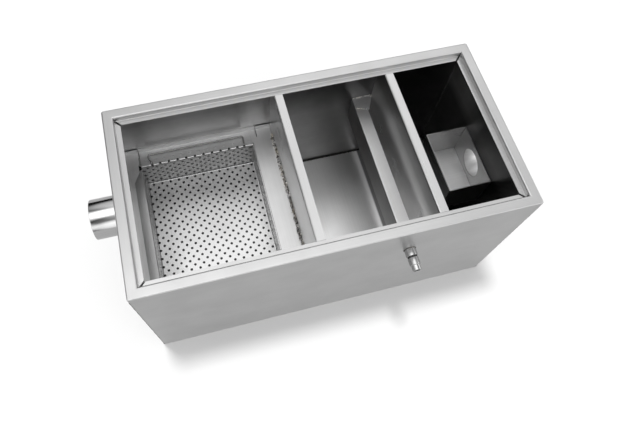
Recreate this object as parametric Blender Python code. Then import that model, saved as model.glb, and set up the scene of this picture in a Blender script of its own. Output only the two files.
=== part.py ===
"""Stainless steel grease trap: a welded sheet metal tank with three chambers and a strainer basket.

+X runs from the inlet to the outlet, +Y to the back wall and +Z up.
The origin is the middle of the tank's underside. All sizes are in metres.
"""

import math

import bmesh
import bpy
from mathutils import Vector

# Tank
TANK_LENGTH = 0.600
TANK_WIDTH = 0.300
TANK_HEIGHT = 0.300
WALL_SHEET = 0.0015
CORNER_RADIUS = 0.0035
RIM_WIDTH = 0.0163
STEP_DEPTH = 0.010
LEDGE_WIDTH = 0.008
LEDGE_MITRE_GAP = 0.0009
SHEET_BEND = 0.0008

# Chambers and the partitions between them
INLET_CHAMBER_LENGTH = 0.2619
OUTLET_CHAMBER_LENGTH = 0.1494
BAR_WIDTH = 0.0145
UNDERFLOW_1 = 0.060
UNDERFLOW_2 = 0.040

# Baffle and its gusset
BAFFLE_TO_PARTITION = 0.0359
BAFFLE_TOP = 0.199
BAFFLE_DEPTH = 0.056
BAFFLE_FLANGE = 0.0215
GUSSET_SHORT_SIDE = 0.020
GUSSET_LONG_SIDE = 0.028
GUSSET_END = 0.003
GUSSET_INSET = 0.001
GUSSET_OVERHANG = 0.002

# Shelf
SHELF_TOP = 0.165
SHELF_LIP = 0.010
SHELF_SLIT_LENGTH = 0.0165
SHELF_SLIT_WIDTH = 0.0015
SHELF_SLIT_LEFT_INSET = 0.0281
SHELF_SLIT_RIGHT_INSET = 0.0274
SHELF_END_GAP = 0.0015

# Basket
BASKET_TO_LEFT_WALL = 0.0145
BASKET_TO_PARTITION = 0.0376
BASKET_TO_LIP = 0.0117
BASKET_DEPTH = 0.0625
BASKET_SHEET = 0.0012
BASKET_BEND = 0.0008
BASKET_FLOOR_BEND = 0.0016
BACK_FLANGE = 0.0182
BACK_FLANGE_OVERLAP = 0.0023
LEFT_FLANGE = 0.0143
LEFT_FLANGE_INSET = 0.0046
LEFT_FLANGE_CHAMFER = 0.0224
FLANGE_CORNER_RELIEF = 0.0022
BASKET_LEFT_PLAY = 0.004
BASKET_RIGHT_PLAY = 0.0005
BASKET_SIDE_PLAY = 0.004

# Perforation
HOLE_DIAMETER = 0.0045
HOLE_PITCH = 0.015
ROW_PITCH = 0.0075
FIRST_HOLE_INSET = 0.009
FIRST_ROW_INSET = 0.0044
HOLE_SIDES = 4

# Basket handle
HANDLE_WIRE = 0.003
HANDLE_BEND = 0.0022
HANDLE_CORNER_RADIUS = 0.004
HANDLE_REACH = 0.0179
HANDLE_LEFT_INSET = 0.0114
HANDLE_RIGHT_INSET = 0.0143
HANDLE_LEFT_SPLAY = 0.0065
HANDLE_RIGHT_SPLAY = 0.0013
HANDLE_END_LENGTH = 0.010
HANDLE_SLOT_CLEARANCE = 0.0005

# Pipes
PIPE_DIAMETER = 0.0603
PIPE_WALL = 0.003
PIPE_REACH = 0.040
INLET_DROP = 0.054
OUTLET_Z = 0.1515

# Outlet box
OUTLET_BOX_LENGTH = 0.0762
OUTLET_BOX_WIDTH = 0.112
OUTLET_BOX_Y = -0.0025
OUTLET_BOX_RIM_Z = 0.189
OUTLET_BOX_FLOOR_Z = 0.117
OUTLET_BOX_SHEET = 0.0013
OUTLET_HOLE_DIAMETER = 0.051

# Grease fitting
FITTING_TO_PARTITION = 0.0406
FITTING_DROP = 0.0715
SOCKET_DIAMETER = 0.018
SOCKET_BORE = 0.014
SOCKET_LENGTH = 0.012
SPIGOT_LENGTH = 0.010
SPIGOT_CLEARANCE = 0.0003
SEAL_THICKNESS = 0.0015
SEAL_DIAMETER = 0.0152
PLUG_DIAMETER = 0.0165
PLUG_LENGTH = 0.0124
PLUG_CHAMFER = 0.0008
TIP_DIAMETER = 0.0136
TIP_LENGTH = 0.008
TIP_BORE = 0.0092
TIP_BORE_DEPTH = 0.006

# Fits and facets
GAP = 0.0003
CUT_MARGIN = 0.010
BEND_STEPS = 2
PIPE_SIDES = 32
FITTING_SIDES = 24
CORNER_TURN = math.radians(45)

# Sizes that follow from those above
HALF_LENGTH = TANK_LENGTH / 2
HALF_WIDTH = TANK_WIDTH / 2
LEDGE_TOP = TANK_HEIGHT - STEP_DEPTH
LEDGE_INSET = RIM_WIDTH + LEDGE_WIDTH
INNER_HALF_LENGTH = HALF_LENGTH - WALL_SHEET
INNER_HALF_WIDTH = HALF_WIDTH - WALL_SHEET
PARTITION_1_X = -INNER_HALF_LENGTH + INLET_CHAMBER_LENGTH
PARTITION_2_X = INNER_HALF_LENGTH - OUTLET_CHAMBER_LENGTH
BAFFLE_X = PARTITION_2_X - BAFFLE_TO_PARTITION
SHELF_SLIT_LEFT_X = -INNER_HALF_LENGTH + SHELF_SLIT_LEFT_INSET
SHELF_SLIT_RIGHT_X = PARTITION_1_X - SHELF_SLIT_RIGHT_INSET
BASKET_LEFT_X = -INNER_HALF_LENGTH + BASKET_TO_LEFT_WALL + LEFT_FLANGE + BASKET_SHEET
BASKET_RIGHT_X = PARTITION_1_X - BASKET_TO_PARTITION
BASKET_HALF_WIDTH = INNER_HALF_WIDTH - GAP - WALL_SHEET - BASKET_TO_LIP - BACK_FLANGE - BASKET_SHEET
FLANGE_UNDERSIDE = SHELF_TOP + GAP
FLANGE_TOP = FLANGE_UNDERSIDE + BASKET_SHEET
BASKET_FLOOR_TOP = FLANGE_TOP - BASKET_DEPTH
BASKET_WALL_TOP = FLANGE_UNDERSIDE - BASKET_BEND
WIRE_RADIUS = HANDLE_WIRE / 2
HANDLE_AXIS_Y = BASKET_HALF_WIDTH + BASKET_SHEET + GAP + WIRE_RADIUS
HANDLE_AXIS_Z = FLANGE_UNDERSIDE - GAP - WIRE_RADIUS
HANDLE_REST_Z = FLANGE_TOP + GAP + WIRE_RADIUS
HANDLE_LEFT_X = BASKET_LEFT_X + HANDLE_LEFT_INSET + HANDLE_LEFT_SPLAY
HANDLE_RIGHT_X = BASKET_RIGHT_X - HANDLE_RIGHT_INSET - HANDLE_RIGHT_SPLAY
INLET_Z = TANK_HEIGHT - INLET_DROP
FITTING_X = PARTITION_2_X - FITTING_TO_PARTITION
FITTING_Z = TANK_HEIGHT - FITTING_DROP


def remove_scene_objects():
    for item in list(bpy.data.objects):
        bpy.data.objects.remove(item)


def metal(name, colour, roughness, metallic=1.0):
    made = bpy.data.materials.new(name)
    made.use_nodes = True
    shader = made.node_tree.nodes["Principled BSDF"]
    shader.inputs["Base Color"].default_value = (*colour, 1.0)
    shader.inputs["Roughness"].default_value = roughness
    shader.inputs["Metallic"].default_value = metallic
    return made


def place(name, data, material, location=(0.0, 0.0, 0.0)):
    made = bpy.data.objects.new(name, data)
    made.location = location
    data.materials.append(material)
    bpy.context.scene.collection.objects.link(made)
    return made


def mesh_of_faces(name, faces):
    """A mesh of faces given by their corner points; corners in one place become one vertex."""
    grid = 1e-7
    mesh = bpy.data.meshes.new(name)
    builder = bmesh.new()
    corners = {}
    for face in faces:
        loop = []
        for point in map(Vector, face):
            key = tuple(round(value / grid) for value in point)
            if key not in corners:
                corners[key] = builder.verts.new(point)
            if corners[key] not in loop:
                loop.append(corners[key])
        if len(loop) > 2:
            builder.faces.new(loop)
    bmesh.ops.recalc_face_normals(builder, faces=builder.faces)
    builder.to_mesh(mesh)
    builder.free()
    return mesh


def smooth(mesh, angle=math.radians(40)):
    mesh.shade_smooth()
    mesh.set_sharp_from_angle(angle=angle)


def prism_faces(outline, bottom, top):
    """An upright prism over an outline in plan."""
    faces = [[(x, y, bottom) for x, y in outline], [(x, y, top) for x, y in outline]]
    for (ax, ay), (bx, by) in zip(outline, outline[1:] + outline[:1]):
        faces.append([(ax, ay, bottom), (bx, by, bottom), (bx, by, top), (ax, ay, top)])
    return faces


def box_faces(low, high):
    outline = [(low[0], low[1]), (high[0], low[1]), (high[0], high[1]), (low[0], high[1])]
    return prism_faces(outline, low[2], high[2])


def cutter_of_boxes(name, boxes):
    """One cutter for several boxes that don't touch each other."""
    faces = [face for low, high in boxes for face in box_faces(low, high)]
    return as_cutter(place(name, mesh_of_faces(name, faces), metal(name, (0.5, 0.5, 0.5), 0.5)))


def cutter_cylinder(name, radius, centre, direction, length, sides):
    profile = [(0.0, -length / 2), (radius, -length / 2), (radius, length / 2), (0.0, length / 2)]
    mesh = mesh_of_faces(name, turned_faces(profile, direction, sides))
    return as_cutter(place(name, mesh, metal(name, (0.5, 0.5, 0.5), 0.5), centre))


def as_cutter(made):
    made.hide_render = True
    made.display_type = 'WIRE'
    return made


def cut(target, cutter):
    modifier = target.modifiers.new(cutter.name, 'BOOLEAN')
    modifier.operation = 'DIFFERENCE'
    modifier.solver = 'EXACT'
    modifier.object = cutter


def turned_faces(profile, direction, sides):
    """A closed profile of (radius, distance) points turned about X or Y through the origin."""
    def point(radius, distance, turn):
        across = radius * math.cos(turn)
        up = radius * math.sin(turn)
        return (distance, across, up) if direction == "X" else (across, distance, up)

    faces = []
    turns = [2 * math.pi * step / sides for step in range(sides)] + [0.0]
    for turn, turn_next in zip(turns, turns[1:]):
        for (ra, da), (rb, db) in zip(profile, profile[1:] + profile[:1]):
            if ra == 0.0 and rb == 0.0:
                continue
            faces.append([point(ra, da, turn), point(rb, db, turn),
                          point(rb, db, turn_next), point(ra, da, turn_next)])
    return faces


def folded_section(corners, thickness, bend_radius):
    """Section of a folded sheet, as pairs of points that face each other through the sheet.

    The corners are those of the left face, seen along the path, with its bends still sharp.
    """
    corners = [Vector(corner) for corner in corners]

    def left_of(direction):
        return Vector((-direction.y, direction.x))

    first = (corners[1] - corners[0]).normalized()
    last = (corners[-1] - corners[-2]).normalized()
    pairs = [(corners[0], corners[0] - thickness * left_of(first))]
    for before, corner, after in zip(corners, corners[1:], corners[2:]):
        arriving = (corner - before).normalized()
        leaving = (after - corner).normalized()
        turn = math.atan2(arriving.cross(leaving), arriving.dot(leaving))
        side = math.copysign(1.0, turn)
        left_radius = bend_radius if side > 0 else bend_radius + thickness
        right_radius = bend_radius + thickness if side > 0 else bend_radius
        start = corner - arriving * left_radius * math.tan(abs(turn) / 2)
        spoke = -side * left_of(arriving)
        centre = start - spoke * left_radius
        for step in range(BEND_STEPS + 1):
            part = turn * step / BEND_STEPS
            turned = Vector((spoke.x * math.cos(part) - spoke.y * math.sin(part),
                             spoke.x * math.sin(part) + spoke.y * math.cos(part)))
            pairs.append((centre + turned * left_radius, centre + turned * right_radius))
    pairs.append((corners[-1], corners[-1] - thickness * left_of(last)))
    return pairs


def swept_faces(pairs, stations):
    """A folded section carried through stations, each of which puts a section point in space."""
    faces = []
    for near, far in zip(stations, stations[1:]):
        for (left_a, right_a), (left_b, right_b) in zip(pairs, pairs[1:]):
            faces.append([near(left_a), near(left_b), far(left_b), far(left_a)])
            faces.append([near(right_a), near(right_b), far(right_b), far(right_a)])
        for left, right in (pairs[0], pairs[-1]):
            faces.append([near(left), near(right), far(right), far(left)])
    for station in (stations[0], stations[-1]):
        for (left_a, right_a), (left_b, right_b) in zip(pairs, pairs[1:]):
            faces.append([station(left_a), station(left_b), station(right_b), station(right_a)])
    return faces


def wall_station(middle, along, half_length, end, turn):
    """Puts a point of the wall's section at one end of a wall, part of the way round the corner.

    The corner turns about an upright axis as far as the mitre, which is at CORNER_TURN.
    """
    inward = Vector((-along.y, along.x, 0.0))

    def station(point):
        inset, height = point
        if inset < CORNER_RADIUS:
            reach = CORNER_RADIUS - inset
            from_end = CORNER_RADIUS - reach * math.sin(turn)
            depth = CORNER_RADIUS - reach * math.cos(turn)
        else:
            from_end = inset + CORNER_RADIUS * (1 - turn / CORNER_TURN)
            depth = inset
        if turn == CORNER_TURN:
            on_step = inset > RIM_WIDTH - 2 * WALL_SHEET and height < TANK_HEIGHT - 2 * WALL_SHEET
            from_end += (LEDGE_MITRE_GAP if on_step else GAP) / math.sqrt(2)
        return middle + along * end * (half_length - from_end) + inward * depth + Vector((0, 0, height))

    return station


def make_wall(name, middle, along, half_length, steel):
    """One side of the tank: an upright panel whose top folds in, down and in again."""
    section = folded_section(
        [(0.0, 0.0), (0.0, TANK_HEIGHT), (RIM_WIDTH, TANK_HEIGHT), (RIM_WIDTH, LEDGE_TOP),
         (LEDGE_INSET, LEDGE_TOP)], WALL_SHEET, SHEET_BEND)
    turns = [CORNER_TURN, CORNER_TURN / 2, 0.0]
    stations = [wall_station(middle, along, half_length, -1, turn) for turn in turns]
    stations += [wall_station(middle, along, half_length, 1, turn) for turn in reversed(turns)]
    return place(name, mesh_of_faces(name, swept_faces(section, stations)), steel)


def make_walls():
    front = make_wall("front_wall", Vector((0, -HALF_WIDTH, 0)), Vector((1, 0, 0)), HALF_LENGTH,
                      metal("front_steel", (0.60, 0.60, 0.61), 0.32))
    make_wall("back_wall", Vector((0, HALF_WIDTH, 0)), Vector((-1, 0, 0)), HALF_LENGTH,
              metal("back_steel", (0.58, 0.58, 0.59), 0.32))
    left = make_wall("left_wall", Vector((-HALF_LENGTH, 0, 0)), Vector((0, -1, 0)), HALF_WIDTH,
                     metal("left_steel", (0.58, 0.58, 0.59), 0.32))
    right = make_wall("right_wall", Vector((HALF_LENGTH, 0, 0)), Vector((0, 1, 0)), HALF_WIDTH,
                      metal("right_steel", (0.58, 0.58, 0.59), 0.32))
    reach = WALL_SHEET + 2 * CUT_MARGIN
    pipe_hole = PIPE_DIAMETER / 2 + GAP
    cut(left, cutter_cylinder("inlet_hole", pipe_hole, (-HALF_LENGTH, 0, INLET_Z), "X", reach, PIPE_SIDES))
    cut(right, cutter_cylinder("outlet_hole", pipe_hole, (HALF_LENGTH, 0, OUTLET_Z), "X", reach, PIPE_SIDES))
    cut(front, cutter_cylinder("fitting_hole", SOCKET_BORE / 2, (FITTING_X, -HALF_WIDTH, FITTING_Z), "Y",
                               reach, FITTING_SIDES))


def make_base_plate():
    """The floor, inside the walls, with corners that follow theirs."""
    half_x = INNER_HALF_LENGTH - GAP
    half_y = INNER_HALF_WIDTH - GAP
    radius = CORNER_RADIUS - WALL_SHEET - GAP
    outline = []
    for quarter, (side_x, side_y) in enumerate([(1, 1), (-1, 1), (-1, -1), (1, -1)]):
        for step in range(BEND_STEPS + 1):
            turn = math.pi / 2 * (quarter + step / BEND_STEPS)
            outline.append((side_x * (half_x - radius) + radius * math.cos(turn),
                            side_y * (half_y - radius) + radius * math.sin(turn)))
    faces = prism_faces(outline, 0.0, WALL_SHEET)
    place("base_plate", mesh_of_faces("base_plate", faces), metal("base_steel", (0.62, 0.62, 0.63), 0.28))


def make_angle(name, left_x, bottom, top, flange, steel):
    """An upright sheet from wall to wall, with its top folded over to the right."""
    section = folded_section([(left_x, bottom), (left_x, top), (left_x + flange, top)],
                             WALL_SHEET, SHEET_BEND)
    half_width = INNER_HALF_WIDTH - GAP
    stations = [lambda point, y=y: (point[0], y, point[1]) for y in (-half_width, half_width)]
    return place(name, mesh_of_faces(name, swept_faces(section, stations)), steel)


def make_partition(name, left_x, underflow):
    """A partition whose folded top is the bar between the front and back ledges."""
    partition = make_angle(name, left_x, underflow, LEDGE_TOP, BAR_WIDTH,
                           metal(name + "_steel", (0.64, 0.64, 0.65), 0.30))
    ledge_edge = HALF_WIDTH - LEDGE_INSET - GAP
    ledge_underside = LEDGE_TOP - WALL_SHEET - GAP
    notches = []
    for near, far in ((-HALF_WIDTH, -ledge_edge), (ledge_edge, HALF_WIDTH)):
        notches.append(((left_x - CUT_MARGIN, near, ledge_underside),
                        (left_x + BAR_WIDTH + CUT_MARGIN, far, LEDGE_TOP + CUT_MARGIN)))
    cut(partition, cutter_of_boxes(name + "_notches", notches))


def make_baffle():
    make_angle("baffle", BAFFLE_X, BAFFLE_TOP - BAFFLE_DEPTH, BAFFLE_TOP, BAFFLE_FLANGE,
               metal("baffle_steel", (0.60, 0.60, 0.61), 0.30))
    left = BAFFLE_X + GUSSET_INSET
    flange_edge = BAFFLE_X + BAFFLE_FLANGE + GUSSET_OVERHANG
    right = PARTITION_2_X - GAP
    back = INNER_HALF_WIDTH - GAP
    outline = [(left, back), (left, back - GUSSET_SHORT_SIDE), (flange_edge, back - GUSSET_LONG_SIDE),
               (right, back - GUSSET_END), (right, back)]
    bottom = BAFFLE_TOP + GAP
    faces = prism_faces(outline, bottom, bottom + WALL_SHEET)
    place("baffle_gusset", mesh_of_faces("baffle_gusset", faces),
          metal("gusset_steel", (0.56, 0.56, 0.57), 0.34))


def make_shelf():
    """A plate with upturned front and back edges and a window that the basket hangs in."""
    outer = INNER_HALF_WIDTH - GAP
    underside = SHELF_TOP - WALL_SHEET
    lip_top = SHELF_TOP + SHELF_LIP
    section = folded_section([(outer, lip_top), (outer, underside), (-outer, underside), (-outer, lip_top)],
                             WALL_SHEET, SHEET_BEND)
    left_x = -INNER_HALF_LENGTH + GAP
    right_x = PARTITION_1_X - GAP
    stations = [lambda point, x=x: (x, point[0], point[1]) for x in (left_x, right_x)]
    shelf = place("basket_shelf", mesh_of_faces("basket_shelf", swept_faces(section, stations)),
                  metal("shelf_steel", (0.64, 0.64, 0.65), 0.28))

    below = underside - CUT_MARGIN
    above = lip_top + CUT_MARGIN
    window_half_width = BASKET_HALF_WIDTH + BASKET_SHEET + BASKET_SIDE_PLAY
    window = ((BASKET_LEFT_X - BASKET_SHEET - BASKET_LEFT_PLAY, -window_half_width, below),
              (BASKET_RIGHT_X + BASKET_SHEET + BASKET_RIGHT_PLAY, window_half_width, above))
    cut(shelf, cutter_of_boxes("shelf_window", [window]))

    slits = []
    slit_root = outer - SHELF_SLIT_LENGTH
    slit_end = outer + CUT_MARGIN
    for slit_x in (SHELF_SLIT_LEFT_X, SHELF_SLIT_RIGHT_X):
        for near, far in ((slit_root, slit_end), (-slit_end, -slit_root)):
            slits.append(((slit_x - SHELF_SLIT_WIDTH / 2, near, below),
                          (slit_x + SHELF_SLIT_WIDTH / 2, far, above)))
    cut(shelf, cutter_of_boxes("shelf_slits", slits))

    plate_end = INNER_HALF_WIDTH - SHELF_END_GAP
    lip_ends = []
    for x_low, x_high in ((left_x - CUT_MARGIN, SHELF_SLIT_LEFT_X),
                          (SHELF_SLIT_RIGHT_X, right_x + CUT_MARGIN)):
        for near, far in ((plate_end, slit_end), (-slit_end, -plate_end)):
            lip_ends.append(((x_low, near, below), (x_high, far, above)))
    cut(shelf, cutter_of_boxes("shelf_lip_ends", lip_ends))


def hole_centres():
    """Centres of the floor's holes, in rows that are staggered by half a pitch."""
    clear = HOLE_DIAMETER / 2 + BASKET_FLOOR_BEND
    centres = []
    row = 0
    while BASKET_HALF_WIDTH - FIRST_ROW_INSET - row * ROW_PITCH - clear > -BASKET_HALF_WIDTH:
        y = BASKET_HALF_WIDTH - FIRST_ROW_INSET - row * ROW_PITCH
        x = BASKET_LEFT_X + FIRST_HOLE_INSET - (row % 2) * HOLE_PITCH / 2
        while x + clear < BASKET_RIGHT_X:
            if x - clear > BASKET_LEFT_X:
                centres.append((x, y))
            x += HOLE_PITCH
        row += 1
    return centres


def hole_outline(centre):
    """A hole with few sides and the area of the round one."""
    step = 2 * math.pi / HOLE_SIDES
    radius = HOLE_DIAMETER / 2 * math.sqrt(step / math.sin(step))
    return [(centre[0] + radius * math.cos(step * side), centre[1] + radius * math.sin(step * side))
            for side in range(HOLE_SIDES)]


def perforated_faces(outline, holes, top, bottom):
    """Both faces of a flat sheet with holes, and the walls of the holes; its rim stays open."""
    filler = bmesh.new()
    for loop in [outline] + holes:
        corners = [filler.verts.new((x, y, 0.0)) for x, y in loop]
        for corner, following in zip(corners, corners[1:] + corners[:1]):
            filler.edges.new((corner, following))
    bmesh.ops.triangle_fill(filler, edges=filler.edges, use_beauty=True)
    flat = [[tuple(corner.co.xy) for corner in face.verts] for face in filler.faces]
    filler.free()
    faces = [[(x, y, height) for x, y in face] for face in flat for height in (top, bottom)]
    for hole in holes:
        for (ax, ay), (bx, by) in zip(hole, hole[1:] + hole[:1]):
            faces.append([(ax, ay, bottom), (bx, by, bottom), (bx, by, top), (ax, ay, top)])
    return faces


def basket_ring(offset, height):
    """Four corners round the basket, a distance outside the inner faces of its walls."""
    left = BASKET_LEFT_X - offset
    right = BASKET_RIGHT_X + offset
    half = BASKET_HALF_WIDTH + offset
    return [(left, -half, height), (right, -half, height), (right, half, height), (left, half, height)]


def floor_bend_rings(radius):
    """Rings of one face of the bend between the floor and the walls."""
    centre_height = BASKET_FLOOR_TOP + BASKET_FLOOR_BEND
    rings = []
    for step in range(BEND_STEPS + 1):
        turn = math.pi / 2 * step / BEND_STEPS
        rings.append(basket_ring(radius * math.sin(turn) - BASKET_FLOOR_BEND,
                                 centre_height - radius * math.cos(turn)))
    return rings


def flange_faces(place_point, root, outline):
    """The bend and the flat of a flange.

    place_point puts (along, offset, height) in space. The root is where the bend starts and ends
    along the wall, and the outline goes round the flat from the root's end to its start.
    """
    start, end = root
    bend_end = BASKET_SHEET + BASKET_BEND
    pairs = []
    for step in range(BEND_STEPS + 1):
        turn = math.pi / 2 * step / BEND_STEPS
        pairs.append([(bend_end - radius * math.cos(turn), BASKET_WALL_TOP + radius * math.sin(turn))
                      for radius in (BASKET_BEND + BASKET_SHEET, BASKET_BEND)])
    faces = []
    for (upper_a, lower_a), (upper_b, lower_b) in zip(pairs, pairs[1:]):
        for near, far in ((upper_a, upper_b), (lower_a, lower_b)):
            faces.append([place_point(start, *near), place_point(end, *near),
                          place_point(end, *far), place_point(start, *far)])
        for along in root:
            faces.append([place_point(along, *upper_a), place_point(along, *lower_a),
                          place_point(along, *lower_b), place_point(along, *upper_b)])
    flat = [(start, bend_end), (end, bend_end)] + outline
    for height in (FLANGE_TOP, FLANGE_UNDERSIDE):
        faces.append([place_point(along, offset, height) for along, offset in flat])
    edge = [(end, bend_end)] + outline + [(start, bend_end)]
    for near, far in zip(edge, edge[1:]):
        faces.append([place_point(*near, FLANGE_UNDERSIDE), place_point(*far, FLANGE_UNDERSIDE),
                      place_point(*far, FLANGE_TOP), place_point(*near, FLANGE_TOP)])
    return faces


def basket_sides():
    """For each side: how its points are placed, its corners, and its flange's root and outline."""
    half = BASKET_HALF_WIDTH
    ends_x = (BASKET_LEFT_X, BASKET_RIGHT_X)
    long_reach = BASKET_SHEET + BACK_FLANGE
    long_end = BASKET_LEFT_X - BASKET_SHEET - BACK_FLANGE_OVERLAP
    long_outline = [(BASKET_RIGHT_X, long_reach), (long_end, long_reach),
                    (long_end, BASKET_SHEET + FLANGE_CORNER_RELIEF)]
    left_reach = BASKET_SHEET + LEFT_FLANGE
    left_root = half - LEFT_FLANGE_INSET
    left_tip = left_root - LEFT_FLANGE_CHAMFER
    chamfer_start = BASKET_SHEET + FLANGE_CORNER_RELIEF
    left_outline = [(left_root, chamfer_start), (left_tip, left_reach),
                    (-left_tip, left_reach), (-left_root, chamfer_start)]

    def front(along, offset, height):
        return (along, -half - offset, height)

    def right(along, offset, height):
        return (BASKET_RIGHT_X + offset, along, height)

    def back(along, offset, height):
        return (along, half + offset, height)

    def left(along, offset, height):
        return (BASKET_LEFT_X - offset, along, height)

    return [(front, ends_x, ends_x, long_outline), (right, (-half, half), None, None),
            (back, ends_x, ends_x, long_outline),
            (left, (-half, half), (-left_root, left_root), left_outline)]


def basket_wall_faces():
    """The flat of each wall inside and outside, its top edge, and its flange."""
    inner_foot = BASKET_FLOOR_TOP + BASKET_FLOOR_BEND
    faces = []
    for place_point, (first, last), root, outline in basket_sides():
        for offset in (0.0, BASKET_SHEET):
            foot = [place_point(last + offset, offset, inner_foot),
                    place_point(first - offset, offset, inner_foot)]
            top = [place_point(first - offset, offset, BASKET_WALL_TOP)]
            top += [place_point(along, offset, BASKET_WALL_TOP) for along in root or ()]
            top += [place_point(last + offset, offset, BASKET_WALL_TOP)]
            faces.append(foot + top)
        spans = [(first, root[0]), (last, root[1])] if root else [(first, last)]
        for corner, stop in spans:
            outer_corner = corner + math.copysign(BASKET_SHEET, corner - (first + last) / 2)
            outer_stop = stop if root else last + BASKET_SHEET
            faces.append([place_point(corner, 0.0, BASKET_WALL_TOP), place_point(stop, 0.0, BASKET_WALL_TOP),
                          place_point(outer_stop, BASKET_SHEET, BASKET_WALL_TOP),
                          place_point(outer_corner, BASKET_SHEET, BASKET_WALL_TOP)])
        if root:
            faces += flange_faces(place_point, root, outline)
    return faces


def make_basket():
    """A strainer folded from perforated sheet, with flanges on its left, back and front."""
    inner_rings = floor_bend_rings(BASKET_FLOOR_BEND)
    outer_rings = floor_bend_rings(BASKET_FLOOR_BEND + BASKET_SHEET)
    outline = [corner[:2] for corner in inner_rings[0]]
    holes = [hole_outline(centre) for centre in hole_centres()]
    faces = perforated_faces(outline, holes, BASKET_FLOOR_TOP, BASKET_FLOOR_TOP - BASKET_SHEET)
    for rings in (inner_rings, outer_rings):
        for lower, upper in zip(rings, rings[1:]):
            for side in range(4):
                following = (side + 1) % 4
                faces.append([lower[side], lower[following], upper[following], upper[side]])
    faces += basket_wall_faces()
    basket = place("basket", mesh_of_faces("basket", faces), metal("basket_steel", (0.66, 0.66, 0.67), 0.28))

    slot_half = WIRE_RADIUS + HANDLE_SLOT_CLEARANCE
    slots = []
    for slot_x in (HANDLE_LEFT_X, HANDLE_RIGHT_X):
        slots.append(((slot_x - slot_half, BASKET_HALF_WIDTH - CUT_MARGIN, HANDLE_AXIS_Z - slot_half),
                      (slot_x + slot_half, HANDLE_AXIS_Y + slot_half, FLANGE_TOP + CUT_MARGIN)))
    cut(basket, cutter_of_boxes("handle_slots", slots))


def rounded_path(corners, radii):
    """A path in space whose inner corners are rounded to the given radii."""
    corners = [Vector(corner) for corner in corners]
    path = [corners[0]]
    for before, corner, after, radius in zip(corners, corners[1:], corners[2:], radii):
        arriving = (corner - before).normalized()
        leaving = (after - corner).normalized()
        turn = arriving.angle(leaving)
        start = corner - arriving * radius * math.tan(turn / 2)
        inward = (leaving - arriving * arriving.dot(leaving)).normalized()
        for step in range(BEND_STEPS + 2):
            part = turn * step / (BEND_STEPS + 1)
            path.append(start + arriving * radius * math.sin(part) + inward * radius * (1 - math.cos(part)))
    path.append(corners[-1])
    return path


def make_handle():
    """A wire bail whose turned-in ends lie under the back flange and are its hinge."""
    axis = Vector(((HANDLE_LEFT_X + HANDLE_RIGHT_X) / 2, HANDLE_AXIS_Y, HANDLE_AXIS_Z))
    rise = HANDLE_REST_Z - HANDLE_AXIS_Z
    left = HANDLE_LEFT_X - axis.x
    right = HANDLE_RIGHT_X - axis.x
    corners = [(left + HANDLE_END_LENGTH, 0.0, 0.0), (left, 0.0, 0.0), (left, 0.0, rise),
               (left - HANDLE_LEFT_SPLAY, HANDLE_REACH, rise),
               (right + HANDLE_RIGHT_SPLAY, HANDLE_REACH, rise),
               (right, 0.0, rise), (right, 0.0, 0.0), (right - HANDLE_END_LENGTH, 0.0, 0.0)]
    radii = [HANDLE_BEND, HANDLE_BEND, HANDLE_CORNER_RADIUS, HANDLE_CORNER_RADIUS, HANDLE_BEND, HANDLE_BEND]
    wire = bpy.data.curves.new("basket_handle", 'CURVE')
    wire.dimensions = '3D'
    wire.bevel_depth = WIRE_RADIUS
    wire.bevel_resolution = 2
    wire.use_fill_caps = True
    path = rounded_path(corners, radii)
    spline = wire.splines.new('POLY')
    spline.points.add(len(path) - 1)
    for point, target in zip(spline.points, path):
        point.co = (*target, 1.0)
    place("basket_handle", wire, metal("handle_steel", (0.70, 0.70, 0.71), 0.22), axis)


def make_pipe(name, inner_end, outer_end, height):
    bore = PIPE_DIAMETER / 2 - PIPE_WALL
    outside = PIPE_DIAMETER / 2
    profile = [(bore, inner_end), (outside, inner_end), (outside, outer_end), (bore, outer_end)]
    mesh = mesh_of_faces(name, turned_faces(profile, "X", PIPE_SIDES))
    smooth(mesh)
    place(name, mesh, metal(name + "_steel", (0.72, 0.72, 0.73), 0.16), (0.0, 0.0, height))


def make_outlet_box():
    """An open-topped box on the right wall, which the outlet pipe drains."""
    plate_right = INNER_HALF_LENGTH - GAP
    plate_left = plate_right - OUTLET_BOX_SHEET
    left = plate_right - OUTLET_BOX_LENGTH
    wrap_right = plate_left - GAP
    front = OUTLET_BOX_Y - OUTLET_BOX_WIDTH / 2
    back = OUTLET_BOX_Y + OUTLET_BOX_WIDTH / 2
    underside = OUTLET_BOX_FLOOR_Z - OUTLET_BOX_SHEET
    section = folded_section([(wrap_right, front), (left, front), (left, back), (wrap_right, back)],
                             OUTLET_BOX_SHEET, SHEET_BEND)
    stations = [lambda point, z=z: (point[0], point[1], z) for z in (underside, OUTLET_BOX_RIM_Z)]
    place("outlet_box_wrap", mesh_of_faces("outlet_box_wrap", swept_faces(section, stations)),
          metal("box_wrap_steel", (0.62, 0.62, 0.63), 0.30))

    inset = OUTLET_BOX_SHEET + GAP
    floor = box_faces((left + inset, front + inset, underside),
                      (wrap_right, back - inset, OUTLET_BOX_FLOOR_Z))
    place("outlet_box_floor", mesh_of_faces("outlet_box_floor", floor),
          metal("box_floor_steel", (0.66, 0.66, 0.67), 0.26))

    plate = box_faces((plate_left, front, underside), (plate_right, back, OUTLET_BOX_RIM_Z))
    box_back = place("outlet_box_back", mesh_of_faces("outlet_box_back", plate),
                     metal("box_back_steel", (0.60, 0.60, 0.61), 0.30))
    cut(box_back, cutter_cylinder("box_hole", OUTLET_HOLE_DIAMETER / 2, (plate_left, 0, OUTLET_Z), "X",
                                  2 * CUT_MARGIN, PIPE_SIDES))


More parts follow.
